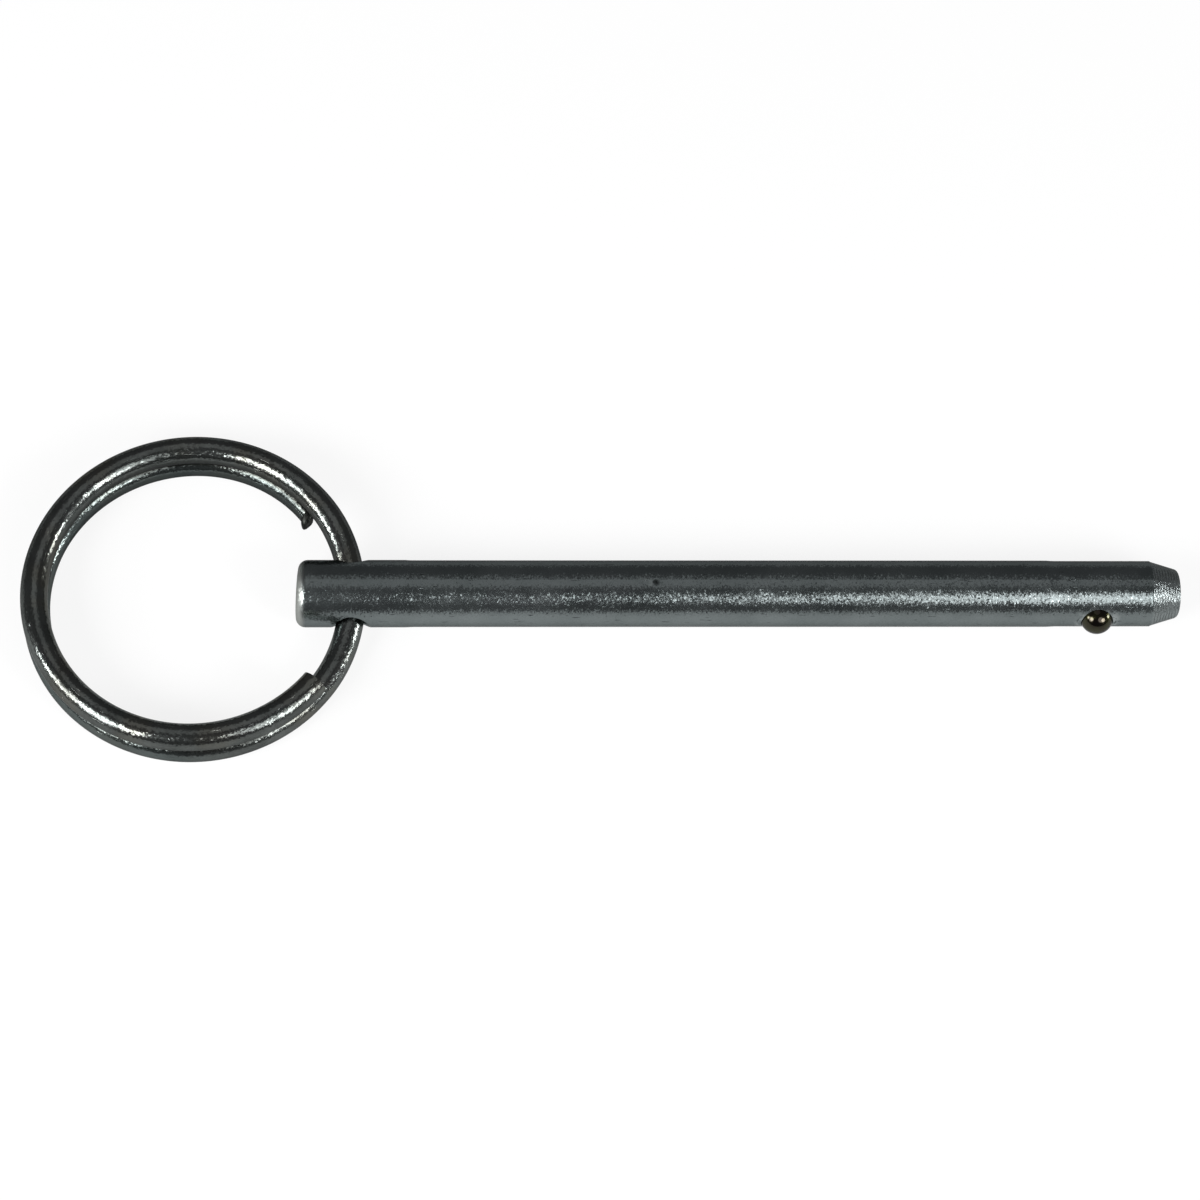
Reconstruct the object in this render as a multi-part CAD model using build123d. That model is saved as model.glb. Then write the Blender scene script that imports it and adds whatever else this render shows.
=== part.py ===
from build123d import *
import os
from math import asin, cos, pi, radians, sin, sqrt, tan

# Cotterless hitch pin, in millimetres.
# The shank lies along X with its nose at +X. The origin is on the shank's axis,
# where the grip begins, and +Z is up from the surface that the pin lies on.

# Shank
grip_diameter = 6.35
shank_length = 84.2
head_land_diameter = 6.41       # left a little full round the ring hole
head_land_length = 10.3
head_blend_length = 0.7
head_edge_radius = 0.9
head_crop_angle = 3.0           # the bar was cropped out of square
nose_land_diameter = 6.27       # relieved, so that the staked metal clears the bore
nose_land_from_nose = 11.8      # from where the grip ends to the nose's face
nose_blend_length = 0.9
nose_step = 0.04                # small shoulder where the taper was turned
nose_taper_length = 2.75
nose_taper_angle = 17.0         # half angle
nose_edge_radius = 0.5

# Cross hole for the split ring
ring_hole_diameter = 3.6
ring_hole_from_head = 5.1
ring_hole_slope = 13.3          # the hole drops by this angle towards -Y
ring_hole_offset = 0.22         # drilled this far below the shank's axis
ring_hole_edge = 0.15           # rounding at both mouths

# Split ring
wire_diameter = 2.6
ring_mean_diameter = 29.9
coil_gap = 0.05
ring_pull = 0.12                # the ring lies this far off the hole's middle, away from the nose
ring_slip = 0.2                 # and this far along the hole, towards -Y
lower_end_angle = 40.6          # where the lower coil starts, about the ring's centre
upper_end_angle = -38.2         # where the upper coil stops
lip_length = 0.85               # burr that the shears drew out at the lower end
lip_reach = 0.65                # how far the burr's tip stands inside the coil
lip_root_width = 1.9            # across the wire, towards the ring's centre
lip_root_height = 2.1
lip_root_inset = 0.05           # the burr springs from just inside the cut's edge
lip_tip_width = 1.25
lip_tip_height = 1.6

# Detent ball and its pocket
ball_diameter = 3.175
ball_from_nose = 8.0
ball_proud = 1.08               # above the nose land
pocket_clearance = 0.03
pocket_slope = 5.2              # the pocket's mouth looks up by this angle from -Y
pocket_depth = 4.5              # of the full bore, below the nose land
drill_point_angle = 118.0
stake_depth = 0.09
stake_width = 0.34
stake_lip = 0.14                # metal left between the pocket and the staking groove

# Detent spring
spring_wire = 0.35
spring_diameter = 2.65          # outside
spring_closed_turns = 0.8       # at each end
spring_free_turns = 2.4
spring_clearance = 0.02

# Worked out from the sizes above
grip_radius = grip_diameter / 2
head_radius = head_land_diameter / 2
nose_radius = nose_land_diameter / 2
head_x = -(head_land_length + head_blend_length)
nose_x = head_x + shank_length
hole_x = head_x + ring_hole_from_head
ball_x = nose_x - ball_from_nose
ball_radius = ball_diameter / 2
pocket_radius = ball_radius + pocket_clearance
ball_height = nose_radius + ball_proud - ball_radius
bore_floor = nose_radius - pocket_depth
half_point = radians(drill_point_angle / 2)
wire_radius = wire_diameter / 2
ring_radius = ring_mean_diameter / 2
coil_pitch = wire_diameter + coil_gap
gap_angle = lower_end_angle - upper_end_angle


def shank_blank():
    """Turned bar: a cropped head, the grip between two lands, and a tapered nose."""
    head_land_end = head_x + head_land_length
    nose_land_x = nose_x - nose_land_from_nose
    taper_x = nose_x - nose_taper_length
    taper_radius = nose_radius - nose_step
    tip_radius = taper_radius - nose_taper_length * tan(radians(nose_taper_angle))
    crop_stock = head_radius
    outline = Polyline(
        (head_x - crop_stock, 0),
        (head_x - crop_stock, head_radius),
        (head_land_end, head_radius),
        (head_land_end + head_blend_length, grip_radius),
        (nose_land_x - nose_blend_length, grip_radius),
        (nose_land_x, nose_radius),
        (taper_x, nose_radius),
        (taper_x, taper_radius),
        (nose_x, tip_radius),
        (nose_x, 0),
        close=True,
    )
    section = make_face(outline)
    tip_corner = section.vertices().sort_by(Axis.X)[-2:].sort_by(Axis.Y)[-1]
    section = fillet(tip_corner, nose_edge_radius)
    bar = revolve(Plane.XZ * section, Axis.X)

    slope = radians(head_crop_angle)
    crop = Plane(origin=(head_x, 0, 0), x_dir=(0, 0, 1), z_dir=(cos(slope), -sin(slope), 0))
    bar = split(bar, bisect_by=crop, keep=Keep.TOP)
    head_edge = bar.edges().sort_by(Axis.X)[0]
    return fillet(head_edge, head_edge_radius)


def ring_hole():
    """The drill for the ring's cross hole."""
    slope = radians(ring_hole_slope)
    start = (hole_x, ring_hole_offset * sin(slope), -ring_hole_offset * cos(slope))
    along = Plane(origin=start, x_dir=(1, 0, 0), z_dir=(0, cos(slope), sin(slope)))
    return along * Cylinder(ring_hole_diameter / 2, 2 * head_land_diameter)


def pocket_plane():
    """On the shank's axis at the ball, with its Z out through the pocket's mouth."""
    slope = radians(pocket_slope)
    return Plane(origin=(ball_x, 0, 0), x_dir=(1, 0, 0), z_dir=(0, -cos(slope), sin(slope)))


def ball_pocket():
    """Drilled bore, and the round seat that the staked lip closes over the ball."""
    bore = Polyline(
        (0, ball_height),
        (pocket_radius, ball_height),
        (pocket_radius, bore_floor),
        (0, bore_floor - pocket_radius / tan(half_point)),
        close=True,
    )
    seat = Pos(0, 0, ball_height) * Sphere(pocket_radius)
    return pocket_plane() * (revolve(Plane.XZ * make_face(bore), Axis.Z) + seat)


def stake_groove():
    """V groove of the round staking punch, which meets only the two high sides of the mouth."""
    mouth_radius = sqrt(pocket_radius**2 - (nose_radius - ball_height) ** 2)
    inner = mouth_radius + stake_lip
    outer = inner + stake_width
    punch_top = nose_radius + stake_width
    punch = Polyline(
        (inner, nose_radius),
        ((inner + outer) / 2, nose_radius - stake_depth),
        (outer, nose_radius),
        (outer, punch_top),
        (inner, punch_top),
        close=True,
    )
    return pocket_plane() * revolve(Plane.XZ * make_face(punch), Axis.Z)


def shank():
    blank = shank_blank()
    drill = ring_hole()
    drilled = blank - drill
    mouths = new_edges(blank, drill, combined=drilled)
    return fillet(mouths, ring_hole_edge) - ball_pocket() - stake_groove()


def ring_plane():
    """Place of the ring: its far side lies level with the head land, its wire hangs in the hole."""
    hole_height = -ring_hole_offset / cos(radians(ring_hole_slope))
    lift = head_radius + hole_height - wire_radius - coil_pitch / 2
    tilt = asin(lift / ring_mean_diameter)
    bow = ring_radius - sqrt(ring_radius**2 - head_radius**2)
    centre = (
        hole_x + bow / 2 - ring_pull - ring_radius * cos(tilt),
        -ring_slip,
        hole_height - ring_radius * sin(tilt),
    )
    return Plane(origin=centre, x_dir=(cos(tilt), 0, sin(tilt)), z_dir=(-sin(tilt), 0, cos(tilt)))


def coil(height):
    """One flat turn, from the lower end's angle round to the upper end's."""
    section = Plane.XZ * Pos(ring_radius, height) * Circle(wire_radius)
    return Rot(0, 0, lower_end_angle) * revolve(section, Axis.Z, 360 - gap_angle)


def climb():
    """The single wire through the hole: two tilted arcs take it from the lower coil to the upper one."""
    half_gap = radians(gap_angle / 2)
    start = (ring_radius * cos(half_gap), -ring_radius * sin(half_gap), -coil_pitch / 2)
    middle = (sqrt(ring_radius**2 + (coil_pitch / 2) ** 2), 0, 0)
    direction = (sin(half_gap), cos(half_gap), 0)
    path = TangentArc(start, middle, tangent=direction)
    rising = sweep(Plane(origin=start, z_dir=direction) * Circle(wire_radius), path=path)
    gap_middle = (lower_end_angle + upper_end_angle) / 2
    return Rot(0, 0, gap_middle) * (rising + rising.rotate(Axis.X, 180))


def sheared_lip():
    """Burr of the lower end, drawn out along the wire and in towards the ring's centre."""
    cut = Plane(
        origin=(ring_radius, 0, -coil_pitch / 2),
        x_dir=(-1, 0, 0),
        z_dir=(0, -1, 0),
    )
    root_middle = wire_radius - lip_root_inset - lip_root_width / 2
    tip_middle = wire_radius + lip_reach - lip_tip_width / 2
    root = Pos(root_middle, 0) * Ellipse(lip_root_width / 2, lip_root_height / 2)
    tip = Pos(tip_middle, 0, lip_length) * Ellipse(lip_tip_width / 2, lip_tip_height / 2)
    return Rot(0, 0, lower_end_angle) * (cut * loft([root, tip]))


def split_ring():
    lower = coil(-coil_pitch / 2)
    upper = coil(coil_pitch / 2)
    return ring_plane() * (lower + climb() + upper + sheared_lip())


def detent_ball():
    return pocket_plane() * Pos(0, 0, ball_height) * Sphere(ball_radius)


def detent_spring():
    """Compression spring with closed ends, between the drill point and the ball."""
    coil_radius = (spring_diameter - spring_wire) / 2
    seat = bore_floor - (pocket_radius - coil_radius) / tan(half_point)
    foot = seat + spring_wire / 2 / sin(half_point) + spring_clearance
    reach = ball_radius + spring_wire / 2 + spring_clearance
    top = ball_height - sqrt(reach**2 - coil_radius**2)

    turns = spring_free_turns + 2 * spring_closed_turns
    closed_pitch = spring_wire + spring_clearance
    free_pitch = (top - foot - 2 * spring_closed_turns * closed_pitch) / spring_free_turns
    steps = round(12 * turns)
    height = foot
    points = []
    for step in range(steps + 1):
        turn = turns * step / steps
        points.append((coil_radius * cos(2 * pi * turn), coil_radius * sin(2 * pi * turn), height))
        from_end = min(turn, turns - turn)
        pitch = closed_pitch if from_end < spring_closed_turns else free_pitch
        height += pitch * turns / steps
    path = Spline(*points)
    section = Plane(origin=points[0], z_dir=path % 0) * Circle(spring_wire / 2)
    return pocket_plane() * sweep(section, path=path)


os.makedirs("parts", exist_ok=True)
pieces = {
    "shank": shank(),
    "split_ring": split_ring(),
    "detent_ball": detent_ball(),
    "detent_spring": detent_spring(),
}
for name, piece in pieces.items():
    export_step(piece, f"parts/{name}.step")
    print(name, round(piece.volume, 2), "mm3")
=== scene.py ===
from math import cos, pi, radians, sin, sqrt

import bmesh
import bpy
from mathutils import Matrix, Vector


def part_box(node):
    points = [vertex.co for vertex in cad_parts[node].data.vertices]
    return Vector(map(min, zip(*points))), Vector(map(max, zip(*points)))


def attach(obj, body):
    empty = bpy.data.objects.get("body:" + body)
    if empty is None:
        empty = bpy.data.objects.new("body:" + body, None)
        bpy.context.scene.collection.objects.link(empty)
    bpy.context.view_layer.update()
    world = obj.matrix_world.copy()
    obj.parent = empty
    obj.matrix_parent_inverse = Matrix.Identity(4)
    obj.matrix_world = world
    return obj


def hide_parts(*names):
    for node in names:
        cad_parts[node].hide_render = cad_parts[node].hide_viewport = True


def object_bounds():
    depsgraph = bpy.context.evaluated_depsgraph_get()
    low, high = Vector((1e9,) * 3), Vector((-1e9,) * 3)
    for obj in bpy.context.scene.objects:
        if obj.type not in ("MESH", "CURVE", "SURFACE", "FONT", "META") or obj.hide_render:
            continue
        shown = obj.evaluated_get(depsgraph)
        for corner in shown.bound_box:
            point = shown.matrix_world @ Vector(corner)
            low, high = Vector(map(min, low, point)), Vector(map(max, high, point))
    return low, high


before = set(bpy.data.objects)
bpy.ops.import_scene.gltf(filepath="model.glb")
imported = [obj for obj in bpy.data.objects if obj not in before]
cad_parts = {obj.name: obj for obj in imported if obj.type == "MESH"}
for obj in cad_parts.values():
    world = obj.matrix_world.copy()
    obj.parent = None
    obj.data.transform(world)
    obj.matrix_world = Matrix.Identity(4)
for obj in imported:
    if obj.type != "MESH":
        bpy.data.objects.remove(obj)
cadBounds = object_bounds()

mm = 0.001


def addNode(tree, kind, place, **values):
    node = tree.nodes.new(kind)
    node.location = place
    for name, value in values.items():
        setattr(node, name, value)
    return node


def feed(tree, value, socket):
    # an output is linked, anything else is set on the socket itself
    if isinstance(value, bpy.types.NodeSocket):
        tree.links.new(value, socket)
    else:
        socket.default_value = value


def mathNode(tree, operation, place, *inputs, clamp=False):
    node = addNode(tree, "ShaderNodeMath", place, operation=operation, use_clamp=clamp)
    for socket, value in zip(node.inputs, inputs):
        feed(tree, value, socket)
    return node.outputs[0]


def vectorNode(tree, operation, place, *inputs):
    node = addNode(tree, "ShaderNodeVectorMath", place, operation=operation)
    for socket, value in zip(node.inputs, inputs):
        feed(tree, value, socket)
    return node.outputs[1] if operation in ("LENGTH", "DISTANCE") else node.outputs[0]


def spread(tree, value, place, low, high, toLow, toHigh, smooth=False):
    # carries a value from one range to another, held at both ends
    node = addNode(tree, "ShaderNodeMapRange", place, clamp=True)
    node.interpolation_type = "SMOOTHSTEP" if smooth else "LINEAR"
    for socket, number in zip(node.inputs[:5], (value, low, high, toLow, toHigh)):
        feed(tree, number, socket)
    return node.outputs[0]


def noiseNode(tree, place, position, scale, detail=2.0):
    node = addNode(tree, "ShaderNodeTexNoise", place)
    feed(tree, position, node.inputs["Vector"])
    feed(tree, scale, node.inputs["Scale"])
    node.inputs["Detail"].default_value = detail
    return node.outputs[0]


def blend(tree, share, place, first, second, kind="RGBA"):
    # a Mix node has its colour sockets behind those for numbers
    node = addNode(tree, "ShaderNodeMix", place, data_type=kind)
    offset = 6 if kind == "RGBA" else 2
    feed(tree, share, node.inputs[0])
    feed(tree, first, node.inputs[offset])
    feed(tree, second, node.inputs[offset + 1])
    return node.outputs[2] if kind == "RGBA" else node.outputs[0]


viewpoint = {
    "towardsCamera": (-0.049, -0.417, 0.908),
    "distance": 380 * mm,
    "pictureWidth": 114.3 * mm,      # what the picture spans at the shank
    "centreFromHead": 28.9 * mm,
    "axisAboveCentre": 0.6 * mm,
    "sensorWidth": 36,
    "clipStart": 0.01,
}


def makeCamera():
    towards = Vector(viewpoint["towardsCamera"]).normalized()
    shankAxis = Vector((1, 0, 0))
    right = (shankAxis - shankAxis.dot(towards) * towards).normalized()
    up = towards.cross(right)
    aim = Vector((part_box("shank")[0].x + viewpoint["centreFromHead"], 0, 0))
    aim -= up * viewpoint["axisAboveCentre"]
    data = bpy.data.cameras.new("camera")
    data.sensor_width = viewpoint["sensorWidth"]
    data.lens = viewpoint["sensorWidth"] * viewpoint["distance"] / viewpoint["pictureWidth"]
    data.clip_start = viewpoint["clipStart"]
    camera = bpy.data.objects.new("camera", data)
    turn = Matrix((right, up, towards)).transposed().to_4x4()
    camera.matrix_world = Matrix.Translation(aim + towards * viewpoint["distance"]) @ turn
    bpy.context.scene.collection.objects.link(camera)
    bpy.context.scene.camera = camera
    return aim


# azimuth runs from -Y towards +X in degrees, distance and radius are in metres,
# and radiance is what a mirror would show of the lamp
lamps = {
    "rightKey": {"azimuth": 50, "elevation": 32, "distance": 0.5, "radius": 0.100, "radiance": 12.5},
    "rightSoft": {"azimuth": 34, "elevation": 43, "distance": 0.5, "radius": 0.15, "radiance": 2.8},
    "rightLow": {"azimuth": 89, "elevation": 12, "distance": 0.5, "radius": 0.060, "radiance": 20},
    "leftKey": {"azimuth": -52, "elevation": 37, "distance": 0.5, "radius": 0.095, "radiance": 10.5},
    "leftSoft": {"azimuth": -56, "elevation": 34, "distance": 0.5, "radius": 0.15, "radiance": 5.4},
    "leftLow": {"azimuth": -80, "elevation": 22, "distance": 0.5, "radius": 0.060, "radiance": 19},
    "softRoof": {"azimuth": 180, "elevation": 74, "distance": 0.6, "radius": 0.22, "radiance": 0.3},
}


def makeLamps(aim):
    for name, lamp in lamps.items():
        azimuth, elevation = radians(lamp["azimuth"]), radians(lamp["elevation"])
        level = cos(elevation)
        away = Vector((sin(azimuth) * level, -cos(azimuth) * level, sin(elevation)))
        data = bpy.data.lights.new(name, "AREA")
        data.shape = "DISK"
        data.size = 2 * lamp["radius"]
        data.energy = lamp["radiance"] * pi * pi * lamp["radius"] ** 2
        holder = bpy.data.objects.new(name, data)
        facing = away.to_track_quat("Z", "Y").to_matrix().to_4x4()
        holder.matrix_world = Matrix.Translation(aim + away * lamp["distance"]) @ facing
        bpy.context.scene.collection.objects.link(holder)


def newMaterial(name):
    material = bpy.data.materials.new(name)
    material.use_nodes = True
    return material, material.node_tree, material.node_tree.nodes["Principled BSDF"]


stage = {
    "halfWidth": 1.5,
    "floorColour": (0.95, 0.95, 0.95, 1),
    "floorRoughness": 0.9,
    "cameraGlow": 0.85,              # share of plain white in the floor that the camera sees
    "mirrorGlow": 0.8,               # and in the floor that metal mirrors
    "paintedPoolGlow": (0.48, 0.7),        # strength of that white in front, far away and near, a painted pool of light near the object that only metal mirrors
    "paintedShadowGlow": 0.2,                  # share of the strength that is left behind the object, a painted shadow there that only metal mirrors
    "paintedPoolReach": (-35 * mm, -7 * mm),  # along Y, where it changes in front
    "paintedShadowReach": (-2 * mm, 9 * mm),   # and where it fades behind
    "roomColour": (0.105, 0.105, 0.108, 1),
}


def makeStage():
    low, half = cadBounds[0][2], stage["halfWidth"]
    mesh = bpy.data.meshes.new("floor")
    corners = [(-half, -half, low), (half, -half, low), (half, half, low), (-half, half, low)]
    mesh.from_pydata(corners, [], [(0, 1, 2, 3)])
    floor = bpy.data.objects.new("floor", mesh)
    bpy.context.scene.collection.objects.link(floor)
    material, tree, shader = newMaterial("paleFloor")
    shader.inputs["Base Color"].default_value = stage["floorColour"]
    shader.inputs["Roughness"].default_value = stage["floorRoughness"]
    shader.inputs["Specular IOR Level"].default_value = 0
    seen = addNode(tree, "ShaderNodeLightPath", (-400, 500)).outputs
    mirrored = mathNode(tree, "MAXIMUM", (-200, 500), seen["Is Glossy Ray"], seen["Is Transmission Ray"])
    mirrored = mathNode(tree, "MULTIPLY", (0, 500), mirrored, stage["mirrorGlow"])
    direct = mathNode(tree, "MULTIPLY", (0, 700), seen["Is Camera Ray"], stage["cameraGlow"])
    share = mathNode(tree, "MAXIMUM", (200, 500), direct, mirrored)
    place = addNode(tree, "ShaderNodeTexCoord", (-800, 200)).outputs["Object"]
    split = addNode(tree, "ShaderNodeSeparateXYZ", (-600, 200))
    feed(tree, place, split.inputs[0])
    # the floor that metal mirrors carries a painted shadow behind the object and a painted pool of light
    # just in front; the camera sees it evenly white
    behind = spread(tree, split.outputs[1], (-400, 200), *stage["paintedShadowReach"],
                    1.0, stage["paintedShadowGlow"], smooth=True)
    front = spread(tree, split.outputs[1], (-400, 0), *stage["paintedPoolReach"], *stage["paintedPoolGlow"])
    paintedFloorLight = mathNode(tree, "MULTIPLY", (-200, 100), behind, front)
    glow = addNode(tree, "ShaderNodeEmission", (200, 200))
    feed(tree, mathNode(tree, "MAXIMUM", (0, 200), paintedFloorLight, seen["Is Camera Ray"]), glow.inputs["Strength"])
    mix = addNode(tree, "ShaderNodeMixShader", (450, 300))
    feed(tree, share, mix.inputs[0])
    feed(tree, shader.outputs[0], mix.inputs[1])
    feed(tree, glow.outputs[0], mix.inputs[2])
    feed(tree, mix.outputs[0], tree.nodes["Material Output"].inputs["Surface"])
    mesh.materials.append(material)
    world = bpy.data.worlds.new("room")
    bpy.context.scene.world = world
    world.use_nodes = True
    world.node_tree.nodes["Background"].inputs["Color"].default_value = stage["roomColour"]
    bpy.context.scene.view_settings.view_transform = "Standard"


aim = makeCamera()
makeLamps(aim)
makeStage()
print("camera, lamps and floor are in place")


def newGroup(name, inputs, values, vectors=()):
    group = bpy.data.node_groups.new(name, "ShaderNodeTree")
    for label, value in inputs.items():
        kind = "NodeSocketFloat" if isinstance(value, float) else "NodeSocketVector"
        socket = group.interface.new_socket(label, in_out="INPUT", socket_type=kind)
        if value is not None:
            socket.default_value = value
    for label in values:
        group.interface.new_socket(label, in_out="OUTPUT", socket_type="NodeSocketFloat")
    for label in vectors:
        group.interface.new_socket(label, in_out="OUTPUT", socket_type="NodeSocketVector")
    entry = addNode(group, "NodeGroupInput", (-1200, 0))
    leave = addNode(group, "NodeGroupOutput", (900, 0))
    return group, entry.outputs, leave.inputs


def makeFacetGroup():
    # small flat crystals, each leaning its own way
    inputs = {"Position": None, "Normal": None, "Facet Size": 0.2 * mm, "Lean": (0.2, 0.1, 0.1)}
    group, given, result = newGroup("crystalFacets", inputs, ("Tone",), ("Normal",))
    leaning = given["Normal"]
    tones = []
    # a coarse layer and a finer one: row in the tree, share of the facets' size, reach of the steepest
    for y, share, reach in ((300, 1.0, 8), (-200, 0.58, 10)):
        cells = addNode(group, "ShaderNodeTexVoronoi", (-700, y))
        feed(group, given["Position"], cells.inputs["Vector"])
        size = mathNode(group, "DIVIDE", (-900, y), share, given["Facet Size"])
        feed(group, size, cells.inputs["Scale"])
        way = vectorNode(group, "SUBTRACT", (-500, y), cells.outputs["Color"], (0.5, 0.5, 0.5))
        # most lie nearly flat and a few lean a lot
        steep = vectorNode(group, "MULTIPLY", (-350, y - 150), way, way)
        steep = vectorNode(group, "MULTIPLY", (-200, y - 150), steep, (reach, reach, reach))
        way = vectorNode(group, "MULTIPLY", (-50, y), way, steep)
        way = vectorNode(group, "MULTIPLY", (100, y), way, given["Lean"])
        leaning = vectorNode(group, "ADD", (250, y), leaning, way)
        tones.append(cells.outputs["Color"])
    feed(group, vectorNode(group, "NORMALIZE", (450, 100), leaning), result["Normal"])
    split = addNode(group, "ShaderNodeSeparateColor", (-50, -500))
    feed(group, tones[0], split.inputs[0])
    feed(group, split.outputs[1], result["Tone"])
    return group


def makePlatingGroup():
    # fine grain and cloudy patches of zinc plate
    inputs = {"Position": None, "Grain Size": 0.25 * mm, "Cloud Size": 3.0 * mm}
    group, given, result = newGroup("zincPlating", inputs, ("Height", "Clouds"))
    grainScale = mathNode(group, "DIVIDE", (-1000, 200), 1.0, given["Grain Size"])
    cloudScale = mathNode(group, "DIVIDE", (-1000, -300), 1.0, given["Cloud Size"])
    feed(group, noiseNode(group, (-700, 300), given["Position"], grainScale), result["Height"])
    feed(group, noiseNode(group, (-700, -300), given["Position"], cloudScale, 3.0), result["Clouds"])
    return group


def makeTurningGroup():
    # rings that a lathe tool leaves along X and across the end face, a little uneven in depth and pitch
    inputs = {"Position": None, "Pitch": 0.37 * mm}
    wanderScale, wanderReach, depthScale = 900.0, 0.9, 2600.0
    group, given, result = newGroup("turnedRings", inputs, ("Height",))
    split = addNode(group, "ShaderNodeSeparateXYZ", (-1000, 200))
    feed(group, given["Position"], split.inputs[0])
    crosswise = vectorNode(group, "MULTIPLY", (-1000, 0), given["Position"], (0, 1, 1))
    fromAxis = vectorNode(group, "LENGTH", (-900, 0), crosswise)
    passed = mathNode(group, "SUBTRACT", (-850, 100), split.outputs[0], fromAxis)
    turns = mathNode(group, "DIVIDE", (-800, 200), passed, given["Pitch"])
    wander = noiseNode(group, (-800, -100), given["Position"], wanderScale)
    wander = mathNode(group, "MULTIPLY", (-700, -50), wander, wanderReach)
    turns = mathNode(group, "ADD", (-600, 200), turns, wander)
    wave = mathNode(group, "SINE", (-300, 200), mathNode(group, "MULTIPLY", (-450, 200), turns, 2 * pi))
    depth = noiseNode(group, (-600, -400), given["Position"], depthScale)
    feed(group, mathNode(group, "MULTIPLY", (0, 100), wave, depth), result["Height"])
    return group


def makeMarksGroup():
    # short handling scratches that run mostly along the position's X
    inputs = {"Position": None, "Length": 1.5 * mm, "Width": 0.12 * mm, "Amount": 0.3}
    rarest, gain, softness = 0.82, 0.3, 0.05
    group, given, result = newGroup("handlingMarks", inputs, ("Marks",))
    across = mathNode(group, "DIVIDE", (-1000, 0), 1.0, given["Width"])
    along = mathNode(group, "DIVIDE", (-1000, 200), 1.0, given["Length"])
    scale = addNode(group, "ShaderNodeCombineXYZ", (-800, 100))
    for socket, value in zip(scale.inputs, (along, across, across)):
        feed(group, value, socket)
    stretched = vectorNode(group, "MULTIPLY", (-600, 100), given["Position"], scale.outputs[0])
    lines = noiseNode(group, (-400, 100), stretched, 1.0, 1.0)
    gained = mathNode(group, "MULTIPLY", (-600, -200), given["Amount"], gain)
    start = mathNode(group, "SUBTRACT", (-400, -200), rarest, gained)
    top = mathNode(group, "ADD", (-250, -250), start, softness)
    feed(group, spread(group, lines, (0, 100), start, top, 0.0, 1.0), result["Marks"])
    return group


facetGroup = makeFacetGroup()
platingGroup = makePlatingGroup()
turningGroup = makeTurningGroup()
marksGroup = makeMarksGroup()


def useGroup(tree, group, place, values):
    node = addNode(tree, "ShaderNodeGroup", place, node_tree=group)
    for name, value in values.items():
        feed(tree, value, node.inputs[name])
    return node.outputs


shankFinish = {
    "darkColour": (0.175, 0.202, 0.203, 1),
    "paleColour": (0.240, 0.270, 0.272, 1),
    "markColour": (0.08, 0.09, 0.093, 1),
    "edgeTint": (0.45, 0.45, 0.45, 1),       # where the metal is seen edge-on
    "facetSize": 0.08 * mm,
    "facetStretch": (1.0, 0.8, 0.8),         # crystals are longer round the bar than along it
    "facetLean": (0.08, 0.085, 0.085),
    "facetShare": 0.4,                       # of the tone, and the clouds have the rest
    "grainSize": 0.5 * mm,
    "grainDepth": 0.006 * mm,
    "cloudSize": 4 * mm,
    "cloudRange": (0.32, 0.68),
    "roughness": (0.18, 0.25),
    "roughRange": (0.3, 0.7),
    "markLength": 1.3 * mm,
    "markWidth": 0.16 * mm,
    "markAmount": 0.36,
    "markDepth": 0.008 * mm,
    "turnedColour": (0.27, 0.30, 0.30, 1),
    "taperLength": 2.75 * mm,
    "taperBlend": 0.1 * mm,
    "turningPitch": 0.37 * mm,
    "turningDepth": 0.075 * mm,
    "turnedRoughness": 0.03,                 # more than the plain one
    "stakeColour": (0.35, 0.385, 0.385, 1),
    "stakeReach": (1.75 * mm, 2.5 * mm),     # from the ball's middle
    "patchScale": 1100.0,
    "patchRange": (0.42, 0.56),
    # painted highlight on the head's rounded edge
    "edgeHighlightColour": (0.44, 0.46, 0.44, 1),
    "edgeReach": (0.35 * mm, 1.0 * mm),      # from the head's end
    "edgeRim": (1.8 * mm, 2.4 * mm),         # from the axis
    "edgeRoughness": 0.25,                   # more than the plain one
    "dentFromHead": 34.1 * mm,
    "dentPlace": (-0.3 * mm, 3.2 * mm),      # across and up from the shank's axis
    "dentRadius": 0.5 * mm,
    "dentDepth": 0.06 * mm,
    "dentColour": (0.02, 0.022, 0.023, 1),
    "scuffPlace": (-0.9 * mm, 0, -0.1 * mm), # from the dent
    "scuffRadius": 1.1 * mm,
}


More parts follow.
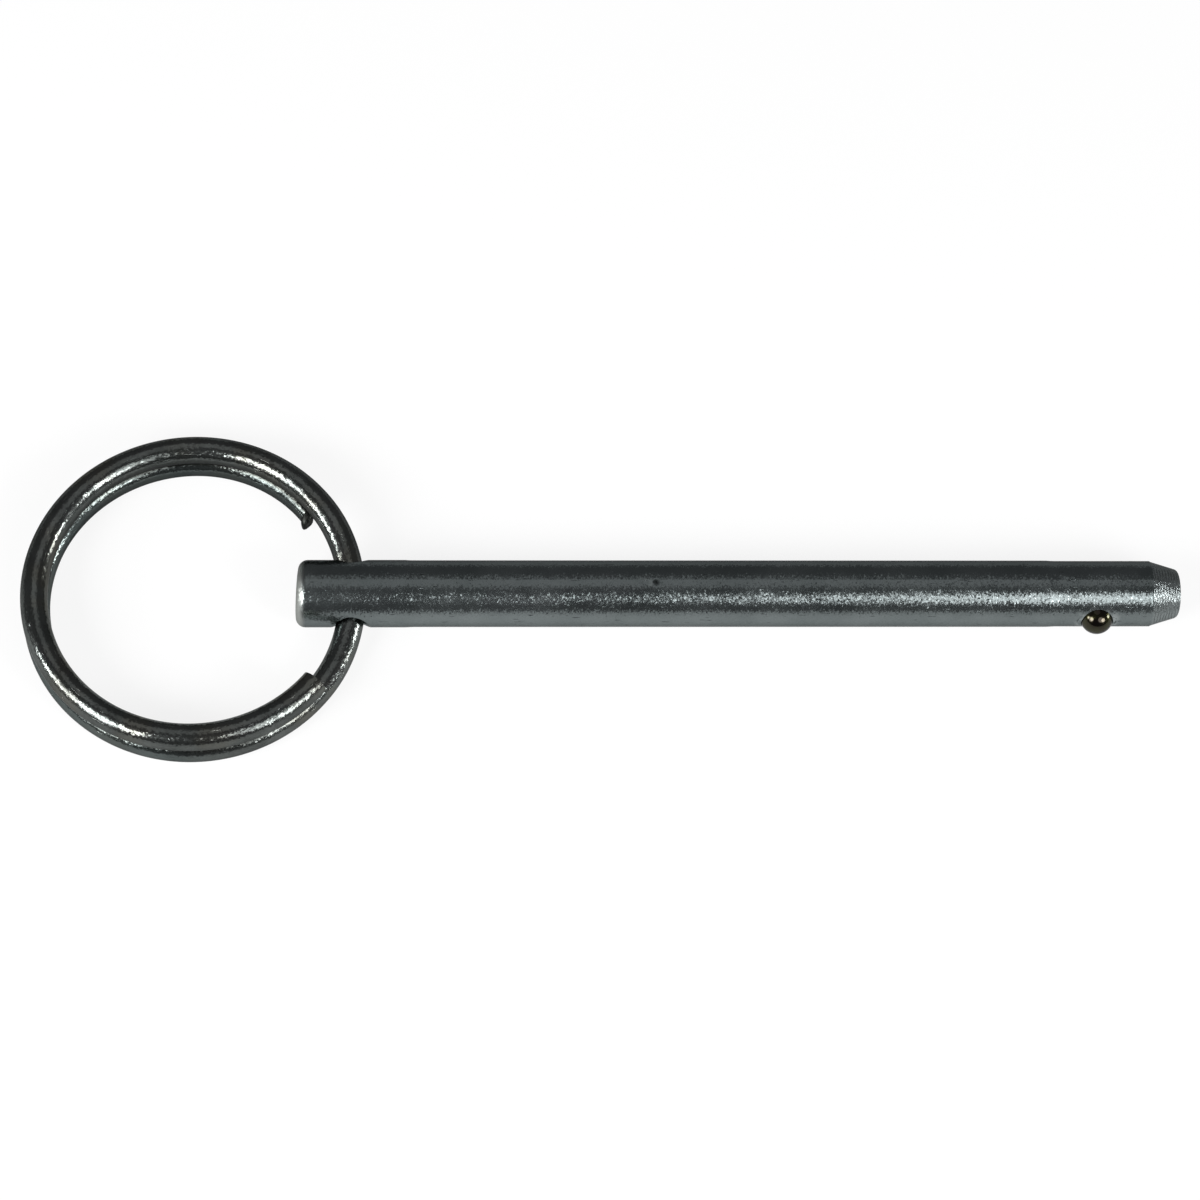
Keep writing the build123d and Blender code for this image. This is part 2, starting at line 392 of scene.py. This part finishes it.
def makeShankFinish(finish):
    material, tree, shader = newMaterial("shankZinc")
    head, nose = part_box("shank")
    place = addNode(tree, "ShaderNodeTexCoord", (-1900, 0)).outputs["Object"]
    stretched = vectorNode(tree, "MULTIPLY", (-1700, 200), place, finish["facetStretch"])
    plating = useGroup(tree, platingGroup, (-1450, 300), {
        "Position": place, "Grain Size": finish["grainSize"], "Cloud Size": finish["cloudSize"],
    })
    turning = useGroup(tree, turningGroup, (-1450, -200), {
        "Position": place, "Pitch": finish["turningPitch"],
    })
    marks = useGroup(tree, marksGroup, (-1450, -500), {
        "Position": place, "Length": finish["markLength"], "Width": finish["markWidth"],
        "Amount": finish["markAmount"],
    })["Marks"]

    # the taper was turned after the bar was drawn
    split = addNode(tree, "ShaderNodeSeparateXYZ", (-1700, -50))
    feed(tree, place, split.inputs[0])
    taperStart = nose.x - finish["taperLength"]
    before, after = taperStart - finish["taperBlend"], taperStart + finish["taperBlend"]
    onTaper = spread(tree, split.outputs[0], (-1450, 0), before, after, 0.0, 1.0)

    # one dent, and a scuff beside it
    dentCentre = (head.x + finish["dentFromHead"], *finish["dentPlace"])
    fromDent = vectorNode(tree, "DISTANCE", (-1450, -750), place, dentCentre)
    dent = spread(tree, fromDent, (-1250, -750), 0.0, finish["dentRadius"], 1.0, 0.0, smooth=True)
    scuffCentre = tuple(map(sum, zip(dentCentre, finish["scuffPlace"])))
    fromScuff = vectorNode(tree, "DISTANCE", (-1450, -900), place, scuffCentre)
    scuffed = spread(tree, fromScuff, (-1250, -900), 0.0, finish["scuffRadius"], 1.0, 0.0)

    # tumbling wore the head's round edge, which is rougher there, and its paler colour is a painted
    # highlight along that edge
    edgeStart, edgeEnd = (head.x + reach for reach in finish["edgeReach"])
    wornEdgeAndHighlight = spread(tree, split.outputs[0], (-1450, 150), edgeStart, edgeEnd, 1.0, 0.0, smooth=True)
    crosswise = vectorNode(tree, "MULTIPLY", (-1450, 300), place, (0, 1, 1))
    fromAxis = vectorNode(tree, "DISTANCE", (-1300, 300), crosswise, (0, 0, 0))
    rim = spread(tree, fromAxis, (-1150, 300), *finish["edgeRim"], 0.0, 1.0, smooth=True)
    wornEdgeAndHighlight = mathNode(tree, "MULTIPLY", (-1000, 250), wornEdgeAndHighlight, rim)

    # bare patches round the ball, where a punch staked it in, and in the scuff
    ballLow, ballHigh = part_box("detent_ball")
    fromBall = vectorNode(tree, "DISTANCE", (-1450, -950), place, tuple((ballLow + ballHigh) / 2))
    staked = spread(tree, fromBall, (-1250, -950), *finish["stakeReach"], 1.0, 0.0, smooth=True)
    patchy = noiseNode(tree, (-1450, -1150), place, finish["patchScale"], 3.0)
    patchy = spread(tree, patchy, (-1250, -1150), *finish["patchRange"], 0.0, 1.0)
    bare = mathNode(tree, "MAXIMUM", (-1150, -1000), staked, scuffed)
    bare = mathNode(tree, "MULTIPLY", (-1050, -1000), bare, patchy)

    grain = mathNode(tree, "MULTIPLY", (-1000, 200), plating["Height"], finish["grainDepth"])
    turned = mathNode(tree, "MULTIPLY", (-1200, -200), turning["Height"], finish["turningDepth"])
    turned = mathNode(tree, "MULTIPLY", (-1000, -200), turned, onTaper)
    height = mathNode(tree, "ADD", (-800, -50), grain, turned)
    sunk = mathNode(tree, "MULTIPLY", (-800, -350), dent, finish["dentDepth"])
    scored = mathNode(tree, "MULTIPLY", (-650, -350), marks, finish["markDepth"])
    height = mathNode(tree, "SUBTRACT", (-650, -150), height, sunk)
    height = mathNode(tree, "SUBTRACT", (-500, -150), height, scored)
    bump = addNode(tree, "ShaderNodeBump", (-300, -200))
    bump.inputs["Distance"].default_value = 1
    feed(tree, height, bump.inputs["Height"])
    facets = useGroup(tree, facetGroup, (-100, -300), {
        "Position": stretched, "Normal": bump.outputs[0],
        "Facet Size": finish["facetSize"], "Lean": finish["facetLean"],
    })
    feed(tree, facets["Normal"], shader.inputs["Normal"])

    clouds = spread(tree, plating["Clouds"], (-1200, 400), *finish["cloudRange"], 0.0, 1.0)
    tone = blend(tree, finish["facetShare"], (-1000, 500), clouds, facets["Tone"], "FLOAT")
    colour = blend(tree, tone, (-800, 400), finish["darkColour"], finish["paleColour"])
    colour = blend(tree, onTaper, (-700, 600), colour, finish["turnedColour"])
    colour = blend(tree, bare, (-600, 600), colour, finish["stakeColour"])
    # painted highlight on the head's rounded edge
    colour = blend(tree, wornEdgeAndHighlight, (-500, 600), colour, finish["edgeHighlightColour"])
    colour = blend(tree, marks, (-500, 400), colour, finish["markColour"])
    colour = blend(tree, dent, (-350, 400), colour, finish["dentColour"])
    feed(tree, colour, shader.inputs["Base Color"])
    plain = spread(tree, plating["Clouds"], (-800, 100), *finish["roughRange"], *finish["roughness"])
    onWorn = mathNode(tree, "MULTIPLY", (-600, 50), wornEdgeAndHighlight, finish["edgeRoughness"])
    onTurned = mathNode(tree, "MULTIPLY", (-600, -50), onTaper, finish["turnedRoughness"])
    added = mathNode(tree, "MAXIMUM", (-450, 0), onWorn, onTurned)
    feed(tree, mathNode(tree, "ADD", (-450, 100), plain, added), shader.inputs["Roughness"])
    shader.inputs["Metallic"].default_value = 1
    shader.inputs["Specular Tint"].default_value = finish["edgeTint"]
    return material


ringFinish = {
    "darkColour": (0.095, 0.104, 0.100, 1),
    "paleColour": (0.185, 0.199, 0.192, 1),
    "coolColour": (0.122, 0.155, 0.155, 1),
    "coolShare": 0.5,
    "coolUntil": 60 * mm,                   # along the wire, on the lower coil
    "coolBlend": 4 * mm,
    "warmColour": (0.155, 0.147, 0.120, 1),
    "warmShare": 0.5,
    "stainScale": 160.0,
    "stainRange": (0.48, 0.66),
    # painted shade in the groove between the coils
    "grooveShadeColour": (0.030, 0.030, 0.026, 1),
    "grooveShadeReach": (0.8 * mm, 1.2 * mm),    # from the wire's middle towards the other coil
    "coilEnds": (72.8 * mm, 94.3 * mm),     # along the wire, the lower coil's end and the upper one's start
    "coilBlend": mm,
    "edgeTint": (0.5, 0.5, 0.5, 1),
    "facetSize": 0.10 * mm,
    "facetStretch": (0.7, 1.0, 1.0),        # crystals are longer along the wire
    "facetLean": (0.075, 0.075, 0.075),
    "facetShare": 0.4,
    "drawnSize": 0.22 * mm,
    "drawnStretch": (0.06, 1.0, 1.0),       # die lines run along the wire
    "drawnDepth": 0.003 * mm,
    "cloudSize": 3 * mm,
    "cloudRange": (0.35, 0.65),
    "roughness": (0.24, 0.17),              # smoother where the plating is pale
    "roughRange": (0.3, 0.7),
    "markLength": 2.2 * mm,
    "markWidth": 0.13 * mm,
    "markAmount": 0.4,
    "markDepth": 0.01 * mm,
}


def makeRingFinish(finish):
    # the pattern runs along the wire and turns with it
    material, tree, shader = newMaterial("ringZinc")
    along = addNode(tree, "ShaderNodeAttribute", (-2300, 200), attribute_name="alongWire").outputs["Fac"]
    across = addNode(tree, "ShaderNodeAttribute", (-2300, -100), attribute_name="acrossWire")
    split = addNode(tree, "ShaderNodeSeparateXYZ", (-2100, -100))
    feed(tree, across.outputs["Vector"], split.inputs[0])
    joined = addNode(tree, "ShaderNodeCombineXYZ", (-1900, 50))
    for socket, value in zip(joined.inputs, (along, split.outputs[0], split.outputs[1])):
        feed(tree, value, socket)
    place = joined.outputs[0]
    drawn = useGroup(tree, platingGroup, (-1300, 300), {
        "Position": vectorNode(tree, "MULTIPLY", (-1600, 300), place, finish["drawnStretch"]),
        "Grain Size": finish["drawnSize"], "Cloud Size": finish["cloudSize"],
    })["Height"]
    clouds = noiseNode(tree, (-1300, 500), place, 1 / finish["cloudSize"], 3.0)
    marks = useGroup(tree, marksGroup, (-1300, -400), {
        "Position": place, "Length": finish["markLength"], "Width": finish["markWidth"],
        "Amount": finish["markAmount"],
    })["Marks"]

    lines = mathNode(tree, "MULTIPLY", (-850, -100), drawn, finish["drawnDepth"])
    scored = mathNode(tree, "MULTIPLY", (-850, -300), marks, finish["markDepth"])
    bump = addNode(tree, "ShaderNodeBump", (-400, -200))
    bump.inputs["Distance"].default_value = 1
    feed(tree, mathNode(tree, "SUBTRACT", (-600, -150), lines, scored), bump.inputs["Height"])
    facets = useGroup(tree, facetGroup, (-200, -300), {
        "Position": vectorNode(tree, "MULTIPLY", (-400, -450), place, finish["facetStretch"]),
        "Normal": bump.outputs[0], "Facet Size": finish["facetSize"], "Lean": finish["facetLean"],
    })
    feed(tree, facets["Normal"], shader.inputs["Normal"])

    patches = spread(tree, clouds, (-1050, 400), *finish["cloudRange"], 0.0, 1.0)
    tone = blend(tree, finish["facetShare"], (-900, 500), patches, facets["Tone"], "FLOAT")
    colour = blend(tree, tone, (-700, 400), finish["darkColour"], finish["paleColour"])
    stain = noiseNode(tree, (-1300, 700), place, finish["stainScale"])
    stain = spread(tree, stain, (-1050, 700), *finish["stainRange"], 0.0, finish["warmShare"], smooth=True)
    colour = blend(tree, stain, (-500, 400), colour, finish["warmColour"])
    before, after = finish["coolUntil"] - finish["coolBlend"], finish["coolUntil"] + finish["coolBlend"]
    cool = spread(tree, along, (-700, 700), before, after, finish["coolShare"], 0.0, smooth=True)
    colour = blend(tree, cool, (-300, 500), colour, finish["coolColour"])

    # painted shade darkens the groove between the coils, where they shade each other, and the climb from
    # one to the other has none
    lowerEnd, upperStart = finish["coilEnds"]
    lower = spread(tree, along, (-1300, 1000), lowerEnd - finish["coilBlend"], lowerEnd, 1.0, 0.0)
    upper = spread(tree, along, (-1300, 800), upperStart, upperStart + finish["coilBlend"], 0.0, 1.0)
    side = mathNode(tree, "SUBTRACT", (-1100, 900), upper, lower)
    inward = mathNode(tree, "MULTIPLY", (-900, 900), split.outputs[1], side)
    paintedGrooveShade = spread(tree, inward, (-700, 900), *finish["grooveShadeReach"], 0.0, 1.0, smooth=True)
    colour = blend(tree, paintedGrooveShade, (-150, 500), colour, finish["grooveShadeColour"])
    feed(tree, colour, shader.inputs["Base Color"])
    roughness = spread(tree, clouds, (-850, 100), *finish["roughRange"], *finish["roughness"])
    feed(tree, roughness, shader.inputs["Roughness"])
    shader.inputs["Metallic"].default_value = 1
    shader.inputs["Specular Tint"].default_value = finish["edgeTint"]
    return material


ballFinish = {
    "oliveColour": (0.036, 0.036, 0.014, 1),
    "brownColour": (0.028, 0.02, 0.014, 1),
    "edgeTint": (0.35, 0.35, 0.35, 1),
    "patchScale": 900.0,
    "patchRange": (0.42, 0.6),
    "roughness": (0.10, 0.24),
    "roughRange": (0.4, 0.65),
    "scuffSize": 0.35 * mm,
    "scuffDepth": 0.0018 * mm,
    "film": 0.7,
    "filmRoughness": 0.04,
    "filmIndex": 1.4,
}


def makeBallFinish(finish):
    # polished steel under a dark film of oil
    material, tree, shader = newMaterial("oiledBall")
    place = addNode(tree, "ShaderNodeTexCoord", (-1200, 0)).outputs["Object"]
    patches = noiseNode(tree, (-900, 300), place, finish["patchScale"])
    tone = spread(tree, patches, (-650, 300), *finish["patchRange"], 0.0, 1.0)
    colour = blend(tree, tone, (-350, 300), finish["brownColour"], finish["oliveColour"])
    feed(tree, colour, shader.inputs["Base Color"])
    roughness = spread(tree, patches, (-650, 50), *finish["roughRange"], *finish["roughness"])
    feed(tree, roughness, shader.inputs["Roughness"])
    scuffs = noiseNode(tree, (-900, -200), place, 1 / finish["scuffSize"], 3.0)
    bump = addNode(tree, "ShaderNodeBump", (-350, -200))
    bump.inputs["Distance"].default_value = finish["scuffDepth"]
    feed(tree, scuffs, bump.inputs["Height"])
    feed(tree, bump.outputs[0], shader.inputs["Normal"])
    shader.inputs["Metallic"].default_value = 1
    shader.inputs["Specular Tint"].default_value = finish["edgeTint"]
    shader.inputs["Coat Weight"].default_value = finish["film"]
    shader.inputs["Coat Roughness"].default_value = finish["filmRoughness"]
    shader.inputs["Coat IOR"].default_value = finish["filmIndex"]
    return material


lipFinishAndShade = {
    # near black: painted shade under the upper coil
    "darkColour": (0.022, 0.024, 0.022, 1),
    "paleColour": (0.07, 0.074, 0.068, 1),
    "grainSize": 0.12 * mm,
    "grainDepth": 0.02 * mm,
    "cloudSize": 0.5 * mm,
    "cloudRange": (0.4, 0.65),
    "roughness": (0.4, 0.6),
    "roughRange": (0.3, 0.7),
}


def makeLipFinishAndShade(finish):
    # torn metal, duller than the drawn wire, and painted near black as shade under the upper coil
    material, tree, shader = newMaterial("tornShadedZinc")
    place = addNode(tree, "ShaderNodeTexCoord", (-900, 0)).outputs["Object"]
    torn = useGroup(tree, platingGroup, (-700, 0), {
        "Position": place, "Grain Size": finish["grainSize"], "Cloud Size": finish["cloudSize"],
    })
    tone = spread(tree, torn["Clouds"], (-450, 200), *finish["cloudRange"], 0.0, 1.0)
    colour = blend(tree, tone, (-250, 200), finish["darkColour"], finish["paleColour"])
    feed(tree, colour, shader.inputs["Base Color"])
    roughness = spread(tree, torn["Height"], (-450, 0), *finish["roughRange"], *finish["roughness"])
    feed(tree, roughness, shader.inputs["Roughness"])
    bump = addNode(tree, "ShaderNodeBump", (-250, -200))
    bump.inputs["Distance"].default_value = finish["grainDepth"]
    feed(tree, torn["Height"], bump.inputs["Height"])
    feed(tree, bump.outputs[0], shader.inputs["Normal"])
    shader.inputs["Metallic"].default_value = 1
    return material


springFinish = {
    "colour": (0.3, 0.3, 0.29, 1),
    "patchScale": 3000.0,
    "roughness": (0.25, 0.4),
    "roughRange": (0.35, 0.65),
}


def makeSpringFinish(finish):
    material, tree, shader = newMaterial("springWire")
    place = addNode(tree, "ShaderNodeTexCoord", (-900, 0)).outputs["Object"]
    patches = noiseNode(tree, (-650, 0), place, finish["patchScale"])
    roughness = spread(tree, patches, (-400, 0), *finish["roughRange"], *finish["roughness"])
    feed(tree, roughness, shader.inputs["Roughness"])
    shader.inputs["Base Color"].default_value = finish["colour"]
    shader.inputs["Metallic"].default_value = 1
    return material


shankZinc = makeShankFinish(shankFinish)
ringZinc = makeRingFinish(ringFinish)
finishes = {
    "shank": shankZinc,
    "split_ring": ringZinc,
    "detent_ball": makeBallFinish(ballFinish),
    "detent_spring": makeSpringFinish(springFinish),
}
for node, material in finishes.items():
    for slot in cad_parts[node].material_slots:
        slot.material = material
print("finishes are on the metal")


splitRing = {
    "wireDiameter": 2.6 * mm,
    "coilPitch": 2.65 * mm,
    "lowerEnd": 40.6,            # degrees about the ring's centre
    "upperEnd": -38.9,
    "tilt": 0.678,               # degrees
    "points": 1100,
    "sides": 32,
    "endCrowding": 0.08,         # spacing of the points at the cut ends, against the mean
    "sprungIn": 0.4 * mm,        # the lower end was left sprung inwards when the coil was cut off
    "sprungAngle": 55.0,         # degrees over which it eases back
}


def newTree(name, sizes):
    # a Geometry Nodes tree with one named input for each size
    tree = bpy.data.node_groups.new(name, "GeometryNodeTree")
    tree.interface.new_socket("Geometry", in_out="OUTPUT", socket_type="NodeSocketGeometry")
    for label, value in sizes.items():
        kind = {int: "NodeSocketInt", float: "NodeSocketFloat"}.get(type(value), "NodeSocketMaterial")
        tree.interface.new_socket(label, in_out="INPUT", socket_type=kind)
    entry = addNode(tree, "NodeGroupInput", (-1800, 0))
    leave = addNode(tree, "NodeGroupOutput", (2200, 0))
    return tree, entry.outputs, leave.inputs[0]


def meshFromTree(name, tree, sizes):
    # runs the tree once and keeps what it makes as a plain mesh
    piece = bpy.data.objects.new(name, bpy.data.meshes.new(name + "Seed"))
    bpy.context.scene.collection.objects.link(piece)
    modifier = piece.modifiers.new("tree", "NODES")
    modifier.node_group = tree
    for item in tree.interface.items_tree:
        if item.in_out == "INPUT":
            modifier[item.identifier] = sizes[item.name]
    ready = piece.evaluated_get(bpy.context.evaluated_depsgraph_get())
    mesh = bpy.data.meshes.new_from_object(ready)
    piece.modifiers.clear()
    piece.data = mesh
    mesh.name = name
    return piece


def makeCoilTree(sizes):
    tree, given, result = newTree("coiledWire", sizes)
    link = tree.links.new

    line = addNode(tree, "GeometryNodeCurvePrimitiveLine", (-1500, 300))
    line.inputs["End"].default_value = (1, 0, 0)
    divided = addNode(tree, "GeometryNodeResampleCurve", (-1300, 300))
    link(line.outputs[0], divided.inputs["Curve"])
    link(given["Points"], divided.inputs["Count"])
    share = addNode(tree, "GeometryNodeSplineParameter", (-1600, 0)).outputs["Factor"]

    # points crowd together at both cut ends
    wave = mathNode(tree, "SINE", (-1400, -100), mathNode(tree, "MULTIPLY", (-1500, -100), share, 2 * pi))
    loose = mathNode(tree, "SUBTRACT", (-1400, -300), 1.0, given["End Crowding"])
    reach = mathNode(tree, "DIVIDE", (-1300, -300), loose, 2 * pi)
    shift = mathNode(tree, "MULTIPLY", (-1200, -200), wave, reach)
    along = mathNode(tree, "SUBTRACT", (-1100, -100), share, shift)

    # each coil runs a turn less the gap, and between them the wire climbs across the gap
    turned = mathNode(tree, "MULTIPLY", (-1000, -100), along, given["Whole Angle"])
    angle = mathNode(tree, "ADD", (-900, -100), turned, given["Start Angle"])
    coilAngle = mathNode(tree, "SUBTRACT", (-1000, -300), 2 * pi, given["Gap Angle"])
    pastCoil = mathNode(tree, "SUBTRACT", (-900, -300), turned, coilAngle)
    intoGap = mathNode(tree, "DIVIDE", (-800, -300), pastCoil, given["Gap Angle"], clamp=True)
    rising = mathNode(tree, "MULTIPLY", (-700, -300), intoGap, 2.0)
    rising = mathNode(tree, "SUBTRACT", (-650, -300), rising, 1.0)
    easing = mathNode(tree, "ABSOLUTE", (-600, -400), rising)
    easing = mathNode(tree, "SUBTRACT", (-550, -400), 2.0, easing)
    bend = mathNode(tree, "MULTIPLY", (-500, -300), rising, easing)
    halfPitch = mathNode(tree, "MULTIPLY", (-500, -500), given["Coil Pitch"], 0.5)
    height = mathNode(tree, "MULTIPLY", (-400, -300), bend, halfPitch)

    # the climb bows outwards, and the lower end is sprung inwards
    middle = mathNode(tree, "MULTIPLY", (-600, -700), rising, rising)
    middle = mathNode(tree, "SUBTRACT", (-500, -700), 1.0, middle)
    bowed = mathNode(tree, "MULTIPLY", (-400, -700), middle, given["Bow"])
    radius = mathNode(tree, "ADD", (-300, -600), given["Mean Radius"], bowed)
    nearEnd = mathNode(tree, "DIVIDE", (-600, -900), turned, given["Sprung Angle"], clamp=True)
    nearEnd = mathNode(tree, "SUBTRACT", (-500, -900), 1.0, nearEnd)
    nearEnd = mathNode(tree, "POWER", (-400, -900), nearEnd, 2.0)
    sprung = mathNode(tree, "MULTIPLY", (-300, -900), nearEnd, given["Sprung In"])
    radius = mathNode(tree, "SUBTRACT", (-200, -700), radius, sprung)

    place = addNode(tree, "ShaderNodeCombineXYZ", (-200, -100))
    for row, operation, socket in ((0, "COSINE", place.inputs[0]), (-150, "SINE", place.inputs[1])):
        part = mathNode(tree, operation, (-400, row), angle)
        feed(tree, mathNode(tree, "MULTIPLY", (-300, row), radius, part), socket)
    feed(tree, height, place.inputs[2])

    # distance along the wire, kept for the finish before the line is bent
    wireLength = mathNode(tree, "MULTIPLY", (0, -100), turned, given["Mean Radius"])
    keptLength = addNode(tree, "GeometryNodeStoreNamedAttribute", (0, 300),
                         data_type="FLOAT", domain="POINT")
    keptLength.inputs["Name"].default_value = "alongWire"
    link(divided.outputs[0], keptLength.inputs["Geometry"])
    link(wireLength, keptLength.inputs["Value"])
    coiled = addNode(tree, "GeometryNodeSetPosition", (200, 300))
    link(keptLength.outputs[0], coiled.inputs["Geometry"])
    link(place.outputs[0], coiled.inputs["Position"])

    section = addNode(tree, "GeometryNodeCurvePrimitiveCircle", (700, 700))
    link(given["Sides"], section.inputs["Resolution"])
    link(given["Wire Radius"], section.inputs["Radius"])
    around = addNode(tree, "GeometryNodeStoreNamedAttribute", (900, 700),
                     data_type="FLOAT_VECTOR", domain="POINT")
    around.inputs["Name"].default_value = "acrossWire"
    link(section.outputs[0], around.inputs["Geometry"])
    onSection = addNode(tree, "GeometryNodeInputPosition", (700, 550))
    link(onSection.outputs[0], around.inputs["Value"])
    swept = addNode(tree, "GeometryNodeCurveToMesh", (1200, 400))
    swept.inputs["Fill Caps"].default_value = True
    link(coiled.outputs[0], swept.inputs["Curve"])
    link(around.outputs[0], swept.inputs["Profile Curve"])

    realised = addNode(tree, "GeometryNodeRealizeInstances", (1500, 400))
    finished = addNode(tree, "GeometryNodeSetMaterial", (1800, 400))
    link(swept.outputs[0], realised.inputs[0])
    link(realised.outputs[0], finished.inputs["Geometry"])
    link(given["Finish"], finished.inputs["Material"])
    link(finished.outputs[0], result)
    return tree


def ringPlacement():
    # the far side of the tilted ring lies on the floor, and its wire hangs in the cross hole
    low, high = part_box("split_ring")
    wireRadius = splitRing["wireDiameter"] / 2
    halfPitch = splitRing["coilPitch"] / 2
    meanRadius = (high.y - low.y) / 2 - wireRadius
    tilt = radians(splitRing["tilt"])
    paintedShadowReach = meanRadius * cos(tilt) + halfPitch * sin(tilt) + wireRadius
    farDrop = meanRadius * sin(tilt) + halfPitch * cos(tilt) + wireRadius
    centre = Vector((low.x + paintedShadowReach, (low.y + high.y) / 2, low.z + farDrop))
    return Matrix.Translation(centre) @ Matrix.Rotation(-tilt, 4, "Y"), meanRadius


def makeSplitRing(finish):
    placement, meanRadius = ringPlacement()
    gap = radians(splitRing["lowerEnd"] - splitRing["upperEnd"])
    sizes = {
        "Points": splitRing["points"],
        "Sides": splitRing["sides"],
        "Start Angle": radians(splitRing["lowerEnd"]),
        "Gap Angle": gap,
        "Whole Angle": 4 * pi - gap,
        "Mean Radius": meanRadius,
        "Bow": sqrt(meanRadius ** 2 + (splitRing["coilPitch"] / 2) ** 2) - meanRadius,
        "Wire Radius": splitRing["wireDiameter"] / 2,
        "Coil Pitch": splitRing["coilPitch"],
        "End Crowding": splitRing["endCrowding"],
        "Sprung In": splitRing["sprungIn"],
        "Sprung Angle": radians(splitRing["sprungAngle"]),
        "Finish": finish,
    }
    ring = meshFromTree("splitRingWire", makeCoilTree(sizes), sizes)
    ring.data.transform(placement)
    for polygon in ring.data.polygons:
        polygon.use_smooth = len(polygon.vertices) == 4
    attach(ring, "ring_body")
    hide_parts("split_ring")
    return ring


ring = makeSplitRing(ringZinc)
print("split ring:", len(ring.data.polygons), "faces")


# burr that the shears drew out of the lower end
shearedLip = {
    # in millimetres: how far along it, how far its middle stands in from the mean radius
    # of the coil, half its width and half its height
    "stations": (
        (-0.30, 0.45, 0.95, 1.00),
        (-0.12, 0.52, 1.05, 1.02),
        (0.00, 0.68, 1.02, 1.00),
        (0.13, 0.92, 0.93, 0.95),
        (0.30, 1.14, 0.82, 0.88),
        (0.50, 1.33, 0.72, 0.82),
        (0.66, 1.42, 0.64, 0.74),
        (0.75, 1.46, 0.52, 0.60),
        (0.79, 1.47, 0.32, 0.35),
    ),
    "sides": 32,
    "squareness": 0.75,          # 1 is an ellipse, less is flatter on top
    "unevenness": 0.03,
}


def squareOff(value):
    return abs(value) ** shearedLip["squareness"] * (1 if value > 0 else -1)


def makeShearedLip(finish):
    placement, meanRadius = ringPlacement()
    turn = Matrix.Rotation(radians(splitRing["lowerEnd"]), 4, "Z")
    shape = bmesh.new()
    loops = []
    for along, inward, halfWidth, halfHeight in shearedLip["stations"]:
        loop = []
        for side in range(shearedLip["sides"]):
            angle = 2 * pi * side / shearedLip["sides"]
            swell = 1 + shearedLip["unevenness"] * sin(3 * angle + 5 * along) * max(along, 0)
            x = meanRadius - (inward + halfWidth * swell * squareOff(cos(angle))) * mm
            z = halfHeight * swell * squareOff(sin(angle)) * mm - splitRing["coilPitch"] / 2
            loop.append(shape.verts.new(turn @ Vector((x, -along * mm, z))))
        loops.append(loop)
    for first, second in zip(loops, loops[1:]):
        for side in range(len(first)):
            after = (side + 1) % len(first)
            shape.faces.new((first[side], first[after], second[after], second[side]))
    shape.faces.new(loops[0])
    shape.faces.new(loops[-1])
    for face in shape.faces:
        face.smooth = len(face.verts) == 4
    bmesh.ops.recalc_face_normals(shape, faces=shape.faces)
    mesh = bpy.data.meshes.new("shearedLip")
    shape.to_mesh(mesh)
    shape.free()
    mesh.transform(placement)
    mesh.materials.append(finish)
    lip = bpy.data.objects.new("shearedLip", mesh)
    bpy.context.scene.collection.objects.link(lip)
    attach(lip, "ring_body")
    return lip


lip = makeShearedLip(makeLipFinishAndShade(lipFinishAndShade))
print("sheared lip:", len(lip.data.polygons), "faces")
